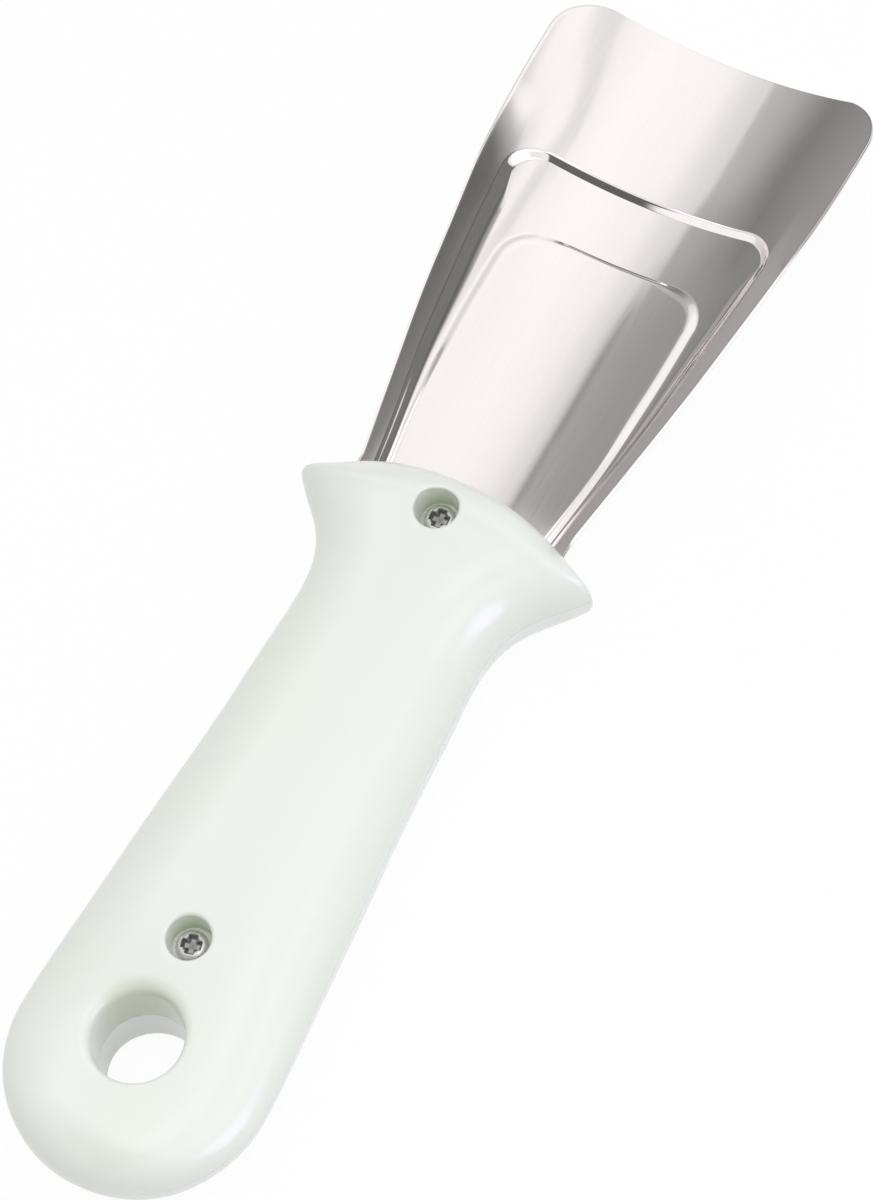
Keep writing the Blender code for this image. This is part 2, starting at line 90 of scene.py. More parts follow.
def measured(ob, origin):
    """An object's points in millimetres from a point of the drawing, as three rows x, y and z."""
    co = np.empty(len(ob.data.vertices) * 3, np.float32)
    ob.data.vertices.foreach_get("co", co)
    return ((co.reshape(-1, 3) - in_frame([origin])) / MM).T


def point_attribute(ob, name, value):
    """Stores one number per point, which a material reads by its name."""
    ob.data.attributes.new(name, "FLOAT", "POINT").data.foreach_set("value", value.astype(np.float32))


def spline(points, x):
    """Cubic spline through the points. The bends at the points solve a banded set of equations that makes
    slope and bend run on across each point, with no bend at the two ends."""
    px, py = np.array(points, float).T
    n = len(px)
    run = np.diff(px)
    rise = np.diff(py) / run
    i = np.arange(1, n - 1)
    bands = np.eye(n)
    bands[i, i - 1], bands[i, i], bands[i, i + 1] = run[:-1], 2.0 * (run[:-1] + run[1:]), run[1:]
    bend = np.linalg.solve(bands, np.concatenate([[0.0], 6.0 * np.diff(rise), [0.0]]))
    x = np.clip(np.asarray(x, float), px[0], px[-1])
    k = np.clip(np.searchsorted(px, x) - 1, 0, n - 2)
    ahead, behind, span = px[k + 1] - x, x - px[k], run[k]
    return ((bend[k] * ahead ** 3 + bend[k + 1] * behind ** 3) / (6.0 * span)
            + (py[k] / span - bend[k] * span / 6.0) * ahead
            + (py[k + 1] / span - bend[k + 1] * span / 6.0) * behind)


def half_width(x):
    """Half width of the handle: a circle round the tail, the spline of the grip and flare, and a parabola for
    the bowed front. The last two meet through a hyperbola, which rounds the collar's tips, and a small bump
    keeps the tips as far out as they are."""
    x = np.asarray(x, float)
    tail = np.sqrt(np.maximum(TAIL_RADIUS ** 2 - (TAIL_RADIUS - x) ** 2, 0.0))
    ahead = np.clip((x - COLLAR_X) / (NOSE_X - COLLAR_X), -1.0, 1.0)
    side = spline(SIDE_LINE, x)
    front = COLLAR_HALF_WIDTH * np.sqrt(1.0 - ahead)
    keep = COLLAR_TIP_ROUND * np.exp(-((x - COLLAR_X) / COLLAR_TIP_SPREAD) ** 2)
    apart = np.sqrt(0.25 * (side - front) ** 2 + COLLAR_TIP_ROUND ** 2 * (ahead > -1))
    met = 0.5 * (side + front) - apart + keep
    return np.where(x < TAIL_RADIUS, tail, np.maximum(np.where(ahead > -1, met, side), 0.0))


def half_height(x):
    """Half height: the crown's spline, rounded over by a quarter ellipse at the tail, and by a fuller curve
    of the third power at the nose."""
    x = np.asarray(x, float)
    back = np.clip((TAIL_EDGE_ROUND - x) / TAIL_EDGE_ROUND, 0.0, 1.0)
    ahead = np.clip((x - COLLAR_X) / (NOSE_X - COLLAR_X), 0.0, 1.0)
    return spline(CROWN_LINE, x) * np.sqrt(1.0 - back ** 2) * np.sqrt(1.0 - ahead ** 3)


def crest(x, y):
    """The collar's soft ridge: a low wave over the distance from a bowed line, and a shallow hollow in front
    of it, both faded out towards the collar's tips."""
    ahead = x - (RIDGE_X - RIDGE_BOW * (y / RIDGE_BOW_HALF) ** 2)
    wave = (RIDGE_RISE * np.exp(-(ahead / RIDGE_SPREAD) ** 2)
            - HOLLOW_DEPTH * np.exp(-((ahead - HOLLOW_AHEAD) / HOLLOW_SPREAD) ** 2))
    return wave * np.clip((RIDGE_END_Y - np.abs(y)) / RIDGE_FADE, 0.0, 1.0)


def face_height(x, y, inset=0.0):
    """Height of the handle's outer face over a point, or of its inner face for an inset. A section is a
    superellipse: the shares of half width and of half height, each to the power 2 / SQUARENESS, add to 1."""
    middle = 0.5 * NOSE_X
    along = middle + (x - middle) / (1.0 - 2.0 * inset / NOSE_X)
    across = np.clip(np.abs(y) / np.maximum(half_width(along) - inset, LEAST_HALF), 0.0, 0.9999)
    tall = np.maximum(half_height(along) - inset, LEAST_HALF)
    z = tall * (1.0 - across ** (2.0 / SQUARENESS)) ** (0.5 * SQUARENESS)
    return z + crest(x, y) * np.clip(z / RIDGE_FADE_HEIGHT, 0.0, 1.0) if inset == 0.0 else z


SHEET = 0.7
BLADE_END_X = 235.6
TROUGH_RADIUS = 65.0
BLADE_SIDE = [(137.0, 20.6), (146.0, 22.2), (158.0, 24.3), (170.0, 26.3), (182.0, 27.9), (194.0, 29.5),
              (206.0, 30.7), (218.0, 31.3), (236.0, 31.4)]
BLADE_FLOOR = [(100.0, -2.1), (137.0, -2.3), (152.0, -2.8), (170.0, -3.5), (190.0, -4.52), (203.0, -5.23),
               (219.0, -6.2), (236.0, -7.48)]
PRESS_LIP = 0.22
SIDES_FROM_X, SIDES_RUN = 200.0, 10.0
PANEL_FRONT_X = BLADE_END_X - 31.1
PANEL_SIDE = [(130.0, 17.6), (143.0, 19.3), (160.0, 22.1), (172.0, 23.6), (185.0, 25.0), (198.0, 25.9),
              (210.0, 26.4)]
PANEL_CORNER = 7.0
PANEL_DEPTH = 0.95
PANEL_WALL, PANEL_WALL_ROOT, PANEL_WALL_SIDE = 1.4, 0.5, 1.35
PANEL_WIDENS_X, PANEL_WIDENS_RUN = 146.0, 34.0
PANEL_FOOT, PANEL_FOOT_SIDE = 0.22, 0.5
PAD_FRONT_X = BLADE_END_X - 45.1
PAD_SIDE = [(130.0, 15.6), (144.0, 17.7), (151.0, 18.5), (160.0, 19.3), (170.0, 19.85), (180.0, 19.95),
            (195.0, 19.95)]
PAD_CORNER = 8.0
PAD_HEIGHT = 0.6
PAD_WALL, PAD_WALL_ROOT, PAD_WALL_SIDE = 1.1, 0.4, 1.1
PAD_WIDENS_X, PAD_WIDENS_RUN = 150.0, 16.0
PAD_CORNER_Y, PAD_CORNER_RUN = 8.0, 6.0
PAD_FOOT = 0.45
FLANK_SLOPE, FLANK_START, FLANK_BLEND = 0.19, 0.6, 0.3
FLANK_END_X, FLANK_RUN = 214.0, 20.0
SHOULDER_X = 129.4
MOUTH_START_X = SHOULDER_X - 1.0
MOUTH_SIDE_GAP = 0.2
MOUTH_GAP = 0.06


def ease(t):
    """Smooth step from 0 to 1, level at both ends."""
    t = np.clip(t, 0.0, 1.0)
    return t * t * (3.0 - 2.0 * t)


def slope_between(t, lip, foot):
    """From 0 to 1 along a straight slope whose two ends are rounded by parabolas, lip and foot long."""
    steep = 1.0 / (1.0 - 0.5 * (lip + foot))
    t = np.clip(t, 0.0, 1.0)
    run_out = 1.0 / steep - (1.0 - t) ** 2 / (2.0 * foot)
    return steep * np.where(t < lip, t * t / (2.0 * lip), np.where(t < 1.0 - foot, t - 0.5 * lip, run_out))


def pressed(x, y, front_x, side, corner, wall, foot):
    """How far a round-cornered field is pressed, 0 outside to 1 inside: depth inside the outline over the
    wall's width, with a short lip and a foot that runs out into the field."""
    qx = x - (front_x - corner)
    qy = y - (spline(side, x) - corner)
    round_corner = np.hypot(np.maximum(qx, 0.0), np.maximum(qy, 0.0))
    inside = corner - round_corner - np.minimum(np.maximum(qx, qy), 0.0)
    return slope_between(inside / wall, PRESS_LIP, foot)


def sheet_height(x, y):
    """Middle of the blade's sheet: a sloping floor and a round trough, less the recessed panel, plus the pad,
    plus flanks that the drawing of the panel has pulled up a little steeper. The panel's wall is narrow round
    the front and wide along the sides; the pad's is widest at its corners and sides. Both narrow to the
    root."""
    y = np.abs(y)
    along = ease((SIDES_FROM_X - x) / SIDES_RUN)
    widens = ease((x - PANEL_WIDENS_X) / PANEL_WIDENS_RUN)
    panel = pressed(x, y, PANEL_FRONT_X, PANEL_SIDE, PANEL_CORNER,
                    PANEL_WALL + along * (PANEL_WALL_ROOT + PANEL_WALL_SIDE * widens),
                    PANEL_FOOT + PANEL_FOOT_SIDE * along)
    widens = ease((x - PAD_WIDENS_X) / PAD_WIDENS_RUN)
    aside = ease((y - PAD_CORNER_Y) / PAD_CORNER_RUN)
    pad = pressed(x, y, PAD_FRONT_X, PAD_SIDE, PAD_CORNER,
                  PAD_WALL + aside * (PAD_WALL_ROOT + PAD_WALL_SIDE * widens), PAD_FOOT)
    beyond = y - spline(PANEL_SIDE, x) + FLANK_START
    fade = ease((FLANK_END_X - x) / FLANK_RUN)
    flank = FLANK_SLOPE * 0.5 * (beyond + np.sqrt(beyond ** 2 + FLANK_BLEND ** 2)) * fade
    return (spline(BLADE_FLOOR, x) + y * y / (2.0 * TROUGH_RADIUS) - PANEL_DEPTH * panel
            + PAD_HEIGHT * pad + flank)


def seam_height(x, y, side):
    """Where a half ends: just off the parting plane, or just off the sheet where the blade passes."""
    on_sheet = (np.abs(y) < BLADE_SIDE[0][1] + MOUTH_SIDE_GAP) & (x > MOUTH_START_X)
    return np.where(on_sheet, sheet_height(x, y) + side * (0.5 * SHEET + MOUTH_GAP), side * SEAM_GAP)


def station_places():
    """Places of the sections: even angles round the tail and the nose, even steps between, and a close pair
    where the front's outline crosses the blade's edge."""
    tail = TAIL_RADIUS * (1.0 - np.cos(np.linspace(0.0, 0.5 * math.pi, 32)))
    grip = np.linspace(TAIL_RADIUS, FLARE_X, 88)
    flare = np.linspace(FLARE_X, COLLAR_X, 30)
    nose = COLLAR_X + (NOSE_X - COLLAR_X) * np.sin(np.linspace(0.0, 0.5 * math.pi, 34))
    fine = np.linspace(COLLAR_X, NOSE_X, 4001)
    jump = fine[np.argmax(half_width(fine) < BLADE_SIDE[0][1] + MOUTH_SIDE_GAP)]
    return np.unique(np.concatenate([tail, grip, flare, nose, [jump - 0.02, jump + 0.02]]))


STATIONS = station_places()


def skin(side, inset):
    """One half's outer or inner skin as a grid: superellipse arcs at the stations, each ending where it
    meets the seam. The end angle is the first crossing found on a fine fan of angles. The outer skin is
    drawn in a little at the seam, which leaves a fine groove, and carries the collar's ridge."""
    middle = 0.5 * NOSE_X
    place = middle + (STATIONS - middle) * (1.0 - 2.0 * inset / NOSE_X)
    wide = np.maximum(half_width(STATIONS) - inset, LEAST_HALF)
    tall = np.maximum(half_height(STATIONS) - inset, LEAST_HALF)
    wide[[0, -1]] = tall[[0, -1]] = 0.0
    fan = np.linspace(0.5 * math.pi, -0.5 * math.pi, 1801)
    gap = (tall[:, None] * np.sign(np.sin(fan)) * np.abs(np.sin(fan)) ** SQUARENESS
           - side * seam_height(place[:, None], wide[:, None] * np.abs(np.cos(fan)) ** SQUARENESS, side))
    under = gap < 0.0
    k = np.where(under.any(1), under.argmax(1), len(fan) - 1)
    k = np.maximum(k, 1)
    rows = np.arange(len(place))
    part = np.clip(gap[rows, k - 1] / np.maximum(gap[rows, k - 1] - gap[rows, k], 1e-9), 0.0, 1.0)
    start = fan[k - 1] + (fan[k] - fan[k - 1]) * part
    close = np.array([0.0, 0.0012, 0.0024, 0.004, 0.0065])
    t = np.concatenate([close, np.linspace(0.011, 0.989, ARC_STEPS - 9), 1.0 - close[::-1]])
    turn = start[:, None] + (math.pi - 2.0 * start[:, None]) * t
    y = wide[:, None] * np.sign(np.cos(turn)) * np.abs(np.cos(turn)) ** SQUARENESS
    z = tall[:, None] * np.sign(np.sin(turn)) * np.abs(np.sin(turn)) ** SQUARENESS
    if inset == 0.0:
        rise = z - z[:, :1]
        pull = SEAM_GROOVE * np.clip(1.0 - rise / GROOVE_HEIGHT, 0.0, 1.0) ** 2
        pull = pull * np.where(place > COLLAR_X, np.clip(tall - GROOVE_NOSE_HALF, 0.0, 1.0), 1.0)[:, None]
        y = np.sign(y) * np.maximum(np.abs(y) - pull, 0.3 * np.abs(y))
        z = z + crest(place[:, None], y) * np.clip(z / RIDGE_FADE_HEIGHT, 0.0, 1.0)
    return np.stack([np.broadcast_to(place[:, None], y.shape), y, side * z], 2)


def quads(rows, columns, round_about=False, left_out=()):
    """Faces of a grid of points, less the blocks left out (first and last row, first and last column)."""
    wide = columns if round_about else columns - 1
    i, j = np.meshgrid(np.arange(rows - 1), np.arange(wide), indexing="ij")
    keep = np.ones(i.shape, bool)
    for i0, i1, j0, j1 in left_out:
        keep[i0:i1, j0:j1] = False
    i, j = i[keep], j[keep]
    k = (j + 1) % columns
    return np.stack([i * columns + j, (i + 1) * columns + j, (i + 1) * columns + k, i * columns + k], 1)


def block_round(grid, x, y, reach, columns):
    """The block of grid cells round a point: rows that reach so far each way, and columns about the point."""
    place = grid[:, 0, 0]
    i0 = int(np.searchsorted(place, x - reach)) - 1
    i1 = int(np.searchsorted(place, x + reach))
    row = grid[int(np.searchsorted(place, x))]
    j = int(np.argmin(np.abs(row[8:-8, 1] - y))) + 8
    return i0, i1, j - columns // 2, j + columns // 2


def rim_of(grid, block):
    """The points round a block, in order."""
    i0, i1, j0, j1 = block
    return np.concatenate([grid[i0, j0:j1], grid[i0:i1, j1], grid[i1, j1:j0:-1], grid[i1:i0:-1, j0]])


def sleeve(loop, centre, rings, near, far_loop=None, far=None, steps=6):
    """Rows of points from a loop on one face, through circles of (radius, height) round a centre, to a loop
    on another face or to one point. Between a loop and a circle, places are mixed in plan and follow the
    face. A radius may be worked out from the angle, and a height from the place."""
    n = len(loop)
    angle = np.unwrap(np.arctan2(loop[:, 1] - centre[1], loop[:, 0] - centre[0]))
    even = angle.mean() + np.sign(angle[-1] - angle[0]) * 2.0 * math.pi * (np.arange(n) - 0.5 * (n - 1)) / n

    def row(x, y, height):
        z = height(x, y) if callable(height) else np.full(n, float(height))
        return np.stack([x, y, z], 1)

    def bridge(edge, radius, face, shares):
        at = np.unwrap(np.arctan2(edge[:, 1] - centre[1], edge[:, 0] - centre[0]))
        at = at + 2.0 * math.pi * round((even.mean() - at.mean()) / (2.0 * math.pi))
        made = []
        for t in shares:
            mixed = at + (even - at) * t
            made.append(row(edge[:, 0] * (1.0 - t) + (centre[0] + radius * np.cos(mixed)) * t,
                            edge[:, 1] * (1.0 - t) + (centre[1] + radius * np.sin(mixed)) * t, face))
        return made

    shares = np.linspace(0.0, 1.0, steps + 1)[1:-1]
    radii = [radius(even) if callable(radius) else radius for radius, height in rings]
    rows = [loop] + bridge(loop, radii[0], near, shares)
    for out, (radius, height) in zip(radii, rings):
        rows.append(row(centre[0] + out * np.cos(even), centre[1] + out * np.sin(even), height))
    if far_loop is None:
        rows.append(np.broadcast_to(rows[-1].mean(0), loop.shape))
    else:
        rows += bridge(far_loop, radii[-1], far, shares[::-1]) + [far_loop]
    return np.concatenate(rows), quads(len(rows), n, True)


def welded(name, patches, crease=38.0):
    """One closed mesh of several patches: the points are put end to end, those that coincide are merged,
    the faces are turned outwards, and edges over the crease angle stay sharp."""
    points, faces, count = [], [], 0
    for verts, quad in patches:
        points.append(np.asarray(verts, float).reshape(-1, 3))
        faces.append(np.asarray(quad) + count)
        count += len(points[-1])
    mesh = bpy.data.meshes.new(name)
    mesh.from_pydata(in_frame(np.concatenate(points)).tolist(), [], np.concatenate(faces).tolist())
    work = bmesh.new()
    work.from_mesh(mesh)
    bmesh.ops.remove_doubles(work, verts=work.verts, dist=1.5e-6)
    bmesh.ops.dissolve_degenerate(work, edges=work.edges, dist=1e-7)
    bmesh.ops.recalc_face_normals(work, faces=work.faces)
    work.to_mesh(mesh)
    work.free()
    mesh.polygons.foreach_set("use_smooth", np.ones(len(mesh.polygons), bool))
    mesh.set_sharp_from_angle(angle=math.radians(crease))
    ob = bpy.data.objects.new(name, mesh)
    bpy.context.scene.collection.objects.link(ob)
    return ob


HOLE_X = 24.3
HOLE_RADIUS = 7.9
HOLE_BLOCK = (11.4, 34)
HOLE_MOUTH_ROUND, HOLE_MOUTH_LEAN, HOLE_MOUTH_TURN = 2.0, 1.0, 0.8
LOWER_MOUTH_ROUND = 0.8
BORE_START_Z = 4.2
TUBE_WALL = 1.6
TUBE_FOOT_Z = 4.0
TUBE_JOINT_Z, TUBE_GAP, JOINT_BEVEL = -1.2, 0.14, 0.06
REAR_SCREW_X = 42.6
FRONT_SCREW_X = 128.8
BOSS_RADIUS, PILOT_RADIUS, PILOT_END_RADIUS, PILOT_END_Z = 4.0, 1.6, 1.5, -7.4
UNDER_TANG_Z = -1.99
MEETING_Z = 0.18
PIN_PLACES = [(68.0, 10.5), (68.0, -10.5), (101.0, 8.5), (101.0, -8.5)]
POST_BLOCK = (4.3, 10)
POST_RADIUS = 3.3
SOCKET_RADIUS, SOCKET_END_Z = 1.8, -4.2
RIB_PLACES = [56.0, 80.0, 92.0, 115.5]
RIB_STEPS, RIB_CLEAR, RIB_THICK = 41, 4.6, 1.6
RIB_SUNK_SIDE, RIB_SUNK_TOP = 0.3, 0.5


def rib(x, side):
    """A cross rib: four corner lines along y, two on the rib's free edge and two sunk in the wall."""
    y = np.linspace(-1.0, 1.0, RIB_STEPS) * (float(half_width(x)) - WALL + RIB_SUNK_SIDE)
    top = np.maximum(face_height(x, y, WALL - RIB_SUNK_TOP), 0.0)
    foot = np.minimum(np.full(RIB_STEPS, RIB_CLEAR), top)
    corners = [(-0.5, foot), (0.5, foot), (0.5, top), (-0.5, top)]
    lines = [np.stack([np.full(RIB_STEPS, x + RIB_THICK * k), y, side * z], 1) for k, z in corners]
    return np.stack(lines, 1).reshape(-1, 3), quads(RIB_STEPS, 4, True)


def shell_patches(side, wells, furniture):
    """A half shell: outer and inner skin with blocks left out, seam strips between their edges but for the
    very nose, where the skins shut, and sleeves that run through the blocks for the hanging hole, the wells,
    the bosses and the posts. The front half's tube reaches past the parting plane to the back half's."""
    outer, inner = skin(side, 0.0), skin(side, WALL)

    def out_face(x, y):
        return side * face_height(x, y)

    def in_face(x, y):
        return side * face_height(x, y, WALL)

    def rounding(angle):
        lean = HOLE_MOUTH_ROUND + HOLE_MOUTH_LEAN * np.cos(angle - HOLE_MOUTH_TURN)
        return np.where(side > 0, lean, LOWER_MOUTH_ROUND)

    def mouth_ring(a):
        return (lambda angle: HOLE_RADIUS + rounding(angle) * (1.0 - math.cos(a)),
                lambda x, y: side * (face_height(x, y)
                                     - rounding(np.arctan2(y, x - HOLE_X)) * (1.0 - math.sin(a))))

    joint = TUBE_JOINT_Z + side * TUBE_GAP
    tube = [mouth_ring(a) for a in np.linspace(0.5 * math.pi, 0.0, 12)] + [
        (HOLE_RADIUS, side * BORE_START_Z), (HOLE_RADIUS, joint + side * JOINT_BEVEL),
        (HOLE_RADIUS + JOINT_BEVEL, joint), (HOLE_RADIUS + TUBE_WALL, joint),
        (HOLE_RADIUS + TUBE_WALL, side * TUBE_FOOT_Z)]
    patches, cut_outer, cut_inner = [], [], []
    for x, reach, columns, rings in [(HOLE_X, *HOLE_BLOCK, tube)] + wells:
        block = block_round(outer, x, 0.0, reach, columns)
        rings = rings + [(rings[-1][0], in_face)]
        patches.append(sleeve(rim_of(outer, block), (x, 0.0), rings, out_face, rim_of(inner, block), in_face))
        cut_outer.append(block)
        cut_inner.append(block)
    for x, y, reach, columns, rings in furniture:
        block = block_round(inner, x, y, reach, columns)
        rings = [(rings[0][0], in_face)] + rings
        patches.append(sleeve(rim_of(inner, block), (x, y), rings, in_face, steps=4))
        cut_inner.append(block)
    rows, columns = outer.shape[:2]
    patches.append((outer, quads(rows, columns, False, cut_outer)))
    patches.append((inner, quads(rows, columns, False, cut_inner)))
    shut = (np.abs(outer[:, 0, 1]) < 0.001) & (np.abs(inner[:, 0, 1]) < 0.001)
    for j in (0, -1):
        patches.append((np.stack([outer[:, j], inner[:, j]], 1), quads(rows, 2)[~(shut[:-1] & shut[1:])]))
    patches += [rib(x, side) for x in RIB_PLACES]
    return patches


sockets = [(x, y, *POST_BLOCK, [(POST_RADIUS, -MEETING_Z), (SOCKET_RADIUS, -MEETING_Z),
                                (SOCKET_RADIUS, SOCKET_END_Z)]) for x, y in PIN_PLACES]
bosses = [(x, 0.0, reach, columns, [(BOSS_RADIUS, top), (PILOT_RADIUS, top), (PILOT_END_RADIUS, PILOT_END_Z)])
          for x, reach, columns, top in ((REAR_SCREW_X, 4.4, 14, -MEETING_Z),
                                         (FRONT_SCREW_X, 4.9, 12, UNDER_TANG_Z))]
handle_back = welded("handle_back", shell_patches(-1.0, [], sockets + bosses))


def wire(tree, made, inputs):
    """Sets a node's inputs: one given as a socket is linked, and any other is a plain value."""
    for key, value in inputs.items():
        if isinstance(value, bpy.types.NodeSocket):
            tree.links.new(value, made.inputs[key])
        else:
            made.inputs[key].default_value = value
    return made


def new_node(tree, kind, inputs, **settings):
    """A new shader node with its settings, and its inputs set or linked."""
    made = tree.nodes.new("ShaderNode" + kind)
    for key, value in settings.items():
        setattr(made, key, value)
    return wire(tree, made, inputs)


def calc(tree, operation, first, second):
    """One step of arithmetic on numbers or on the outcome of an earlier step."""
    return new_node(tree, "Math", {0: first, 1: second}, operation=operation).outputs["Value"]


def spread(tree, source, start, end, low, high, **settings):
    """A number from low to high as the source goes from start to end."""
    return new_node(tree, "MapRange", {"Value": source, "From Min": start, "From Max": end,
                                       "To Min": low, "To Max": high}, **settings).outputs["Result"]


def mixed(tree, share, first, second, **settings):
    """A colour that goes from the first to the second by the share."""
    return new_node(tree, "Mix", {"Factor": share, "A": first, "B": second},
                    data_type="RGBA", **settings).outputs["Result"]


def tone(tree, source, low, high):
    """A colour between two ends, each given as (value of the source, colour)."""
    made = new_node(tree, "ValToRGB", {"Fac": source})
    for element, (at, colour) in zip(made.color_ramp.elements, (low, high)):
        element.position = at
        element.color = (*colour, 1.0)
    return made.outputs["Color"]


def noise(tree, place, scale, detail=2.0):
    """Soft noise from 0 to 1 over the place, with so many finer layers."""
    return new_node(tree, "TexNoise", {"Vector": place, "Scale": scale, "Detail": detail}).outputs["Fac"]


def bumped(tree, height, strength, distance, **under):
    """The normal tilted by the slope of a height, over another tilted normal where one is given."""
    return new_node(tree, "Bump", {"Height": height, "Strength": strength, "Distance": distance,
                                   **under}).outputs["Normal"]


def new_finish(name):
    """A new material, its node tree and the place on the object."""
    mat = bpy.data.materials.new(name)
    mat.use_nodes = True
    return mat, mat.node_tree, new_node(mat.node_tree, "TexCoord", {}).outputs["Object"]


def mint_plastic(name, colour, shade):
    """Moulded plastic. The pigment drifts a little over centimetres and is milkier here and there over
    millimetres. The attribute depth paints light and shade into the walls of the openings: below 0 the tone
    goes towards a painted pale, which is painted light, and above 0 towards the painted shade colour. The
    gloss and the fine orange peel come from two noises."""
    mat, tree, place = new_finish(name)
    drift, cloud, peel = noise(tree, place, 38.0, 3.0), noise(tree, place, 310.0), noise(tree, place, 1150.0)
    pigment = tone(tree, drift, (0.15, (colour[0] * 0.985, colour[1] * 0.998, colour[2] * 0.975)),
                   (0.85, (colour[0] * 1.012, colour[1] * 1.004, colour[2] * 1.018)))
    milky = mixed(tree, 1.0, pigment, spread(tree, cloud, 0.1, 0.9, 0.985, 1.0), blend_type="MULTIPLY")
    # Painted light and shade on the walls of the openings: the attribute depth mixes towards a painted pale
    # or a painted shade colour.
    painted_light_and_shade = new_node(tree, "Attribute", {}, attribute_name="depth").outputs["Fac"]
    pale = mixed(tree, calc(tree, "MULTIPLY", painted_light_and_shade, -1.0), milky, (0.96, 0.965, 0.955, 1.0))
    wire(tree, tree.nodes["Principled BSDF"], {
        "Base Color": mixed(tree, painted_light_and_shade, pale, (*shade, 1.0)),
        "Roughness": spread(tree, drift, 0.1, 0.9, 0.19, 0.29),
        "Normal": bumped(tree, peel, 0.12, 0.00006)})
    return mat


WALL_MARGIN = 0.2
# The painted shade lies on the wall that faces this way, and it grows to full over SHADE_DEPTH below the rim.
SHADE_TOWARD = (0.9, 0.43)
SHADE_DEPTH = 3.0


def mark_depth(ob, side, places):
    """Point attribute for the painted shade and painted light on each opening's wall (x, inner and outer
    radius, most): it starts from 0 at the rim and grows with depth. It is above 0, painted shade, on the
    front half's wall towards the blade, and below 0, painted light that makes the wall paler, on the other
    walls."""
    x, y, z = measured(ob, (0.0, 0.0, 0.0))
    below = face_height(x, y) - side * z
    value = np.zeros(len(x))
    for px, inner, outer, most in places:
        out = np.hypot(x - px, y)
        toward = (SHADE_TOWARD[0] * (x - px) + SHADE_TOWARD[1] * y) / np.maximum(out, 0.1)
        turned = np.clip(2.0 * toward - 0.8, -1.0, 1.0) if side > 0 else -1.0
        grown = np.clip(below / SHADE_DEPTH, 0.0, most)
        value = np.where((out > inner) & (out < outer), turned * grown, value)
    point_attribute(ob, "depth", value)


# Painted light on the back half's bore: its wall turns paler with depth.
mark_depth(handle_back, -1.0, [(HOLE_X, HOLE_RADIUS - WALL_MARGIN, HOLE_RADIUS + 0.6, 1.0)])
handle_back.data.materials.append(mint_plastic("mint_plastic_back", (0.835, 0.845, 0.82), (0.76, 0.76, 0.75)))
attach(handle_back, "root")
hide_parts("handle_back_shell")

# 2. Blade.
# One stamping of 0.7 mm stainless sheet, polished: a trough with round front corners, a recessed panel
# with a pad raised in it, and a narrow tang with a hole that stands round the back half's front boss.

BLADE_CORNER = 9.0
TANG_START_X = 110.5
TANG_HALF = 12.5
TANG_CORNER = 4.0
TANG_HOLE_RADIUS = 4.3
TANG_HOLE_BLOCK = (5.2, 38)
SHOULDER_RUN = 3.2
EDGE_ROUND = 0.24
EDGE_POWER = 2.6
SLOPE_STEP = 0.02


def blade_half(x):
    """Half width of the blade: the flaring side less the round front corners, eased into the narrow tang."""
    turn = np.clip((x - (BLADE_END_X - BLADE_CORNER)) / BLADE_CORNER, 0.0, 1.0)
    wide = spline(BLADE_SIDE, x) - BLADE_CORNER * (1.0 - np.sqrt(1.0 - turn ** 2))
    back = np.clip(1.0 - (x - TANG_START_X) / TANG_CORNER, 0.0, 1.0)
    tang = TANG_HALF - TANG_CORNER * (1.0 - np.sqrt(1.0 - back ** 2))
    return tang + (wide - tang) * ease((x - (SHOULDER_X - SHOULDER_RUN)) / SHOULDER_RUN)


def blade_grid():
    """Rows along x and columns across y, close together at the pressed walls, the corners and the rim."""
    edge = np.array([0.0, 0.03, 0.08, 0.15, EDGE_ROUND])
    swing = BLADE_END_X - BLADE_CORNER * (1.0 - np.sin(np.linspace(0.0, 0.5 * math.pi, 24)[:-3]))
    rows = np.concatenate([
        TANG_START_X + edge, TANG_START_X + TANG_CORNER * (1.0 - np.cos(np.linspace(0.35, 0.5 * math.pi, 8))),
        np.linspace(115.3, 125.6, 10), np.linspace(126.2, 129.4, 9), np.linspace(130.2, 181.6, 46),
        np.linspace(182.3, 188.6, 30), np.linspace(188.75, 190.8, 20), np.linspace(191.5, 196.6, 8),
        np.linspace(197.2, 202.6, 24), np.linspace(202.75, 204.8, 24), np.linspace(205.5, 226.0, 20), swing,
        BLADE_END_X - edge])
    rows = np.unique(np.round(rows, 4))
    rows = rows[np.concatenate([[True], np.diff(rows) > 0.012])]
    full, pad, panel = (spline(line, rows) for line in (BLADE_SIDE, PAD_SIDE, PANEL_SIDE))
    knots = np.stack([0.0 * full, pad - 8.2, pad + 0.3, panel + 0.4, full - EDGE_ROUND], 1)
    parts = [np.linspace(0.0, 1.0, n + 1)[:-1] for n in (12, 36, 30, 9)]
    across = np.concatenate([knots[:, k:k + 1] + (knots[:, k + 1] - knots[:, k])[:, None] * parts[k]
                             for k in range(4)], 1)
    half = blade_half(rows)
    across = across * ((half - EDGE_ROUND) / (full - EDGE_ROUND))[:, None]
    across = np.concatenate([across, half[:, None] - edge[::-1]], 1)
    y = np.concatenate([-across[:, :0:-1], across], 1)
    return np.broadcast_to(rows[:, None], y.shape), y


